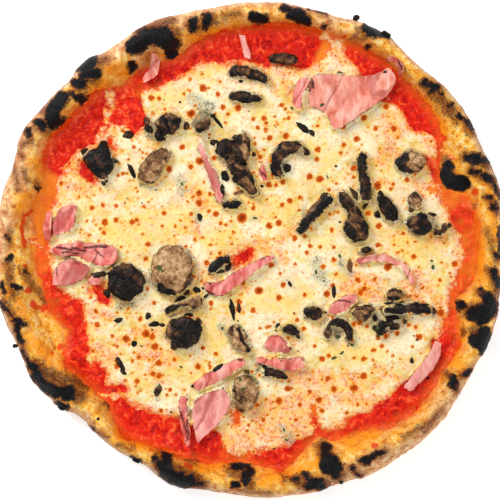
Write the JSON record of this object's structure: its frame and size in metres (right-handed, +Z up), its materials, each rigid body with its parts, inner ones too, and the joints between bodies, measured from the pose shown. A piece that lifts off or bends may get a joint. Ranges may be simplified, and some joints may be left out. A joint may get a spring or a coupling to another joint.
{
  "type": "prosciutto and mushroom pizza",
  "caption": "Round baked pizza with a puffed, blistered rim, tomato sauce, melted cheese, slices of cooked ham and browned mushrooms.",
  "frame": {"origin": "middle of the underside, on the surface that the pizza lies on", "axes": "+Z up through the toppings, +Y towards the top of the picture, +X to its right"},
  "size_m": [0.3238, 0.3174, 0.0234],
  "materials": {
    "crust": "baked dough, pale tan to golden with charred blisters",
    "sauce": "wet tomato sauce",
    "cheese": "melted mozzarella with browned bubbles",
    "ham": "moist pink cooked ham",
    "mushroom": "roasted, dark brown with tan flesh"
  },
  "bodies": {
    "root": {"cheese": "cheese", "dough": "crust", "ham_bottom_flap": "ham", "ham_bottom_fold": "ham", "ham_centre_curl": "ham", "ham_centre_piece": "ham", "ham_centre_wedge": "ham", "ham_left_edge": "ham", "ham_left_flap": "ham", "ham_left_inner": "ham", "ham_left_layered": "ham", "ham_left_upper": "ham", "ham_lower_knot": "ham", "ham_lower_left_curl": "ham", "ham_lower_strip": "ham", "ham_right_arc": "ham", "ham_right_curl": "ham", "ham_right_strip": "ham", "ham_top_right": "ham", "ham_top_right_curl": "ham", "ham_top_right_fold": "ham", "ham_top_wedge": "ham", "ham_upper_left": "ham", "mushroom_arch": "mushroom", "mushroom_below_cap": "mushroom", "mushroom_big_cap": "mushroom", "mushroom_black_slice": "mushroom", "mushroom_bottom_round": "mushroom", "mushroom_bottom_tail": "mushroom", "mushroom_centre_tan": "mushroom", "mushroom_curved_slice": "mushroom", "mushroom_hook": "mushroom", "mushroom_left_dark": "mushroom", "mushroom_left_large": "mushroom", "mushroom_left_slice": "mushroom", "mushroom_long_slice": "mushroom", "mushroom_lower_left": "mushroom", "mushroom_lower_middle": "mushroom", "mushroom_lower_right": "mushroom", "mushroom_lower_thin": "mushroom", "mushroom_middle_lumps": "mushroom", "mushroom_right_bow": "mushroom", "mushroom_right_cap": "mushroom", "mushroom_right_column": "mushroom", "mushroom_right_corner": "mushroom", "mushroom_right_lens": "mushroom", "mushroom_right_long": "mushroom", "mushroom_right_lump": "mushroom", "mushroom_right_slant": "mushroom", "mushroom_round_right": "mushroom", "mushroom_small_middle": "mushroom", "mushroom_top_band": "mushroom", "mushroom_top_lens": "mushroom", "mushroom_top_slab": "mushroom", "mushroom_upper_centre": "mushroom", "mushroom_upper_grey": "mushroom", "mushroom_upper_left": "mushroom", "tomato_sauce": "sauce"}
  },
  "joints": []
}
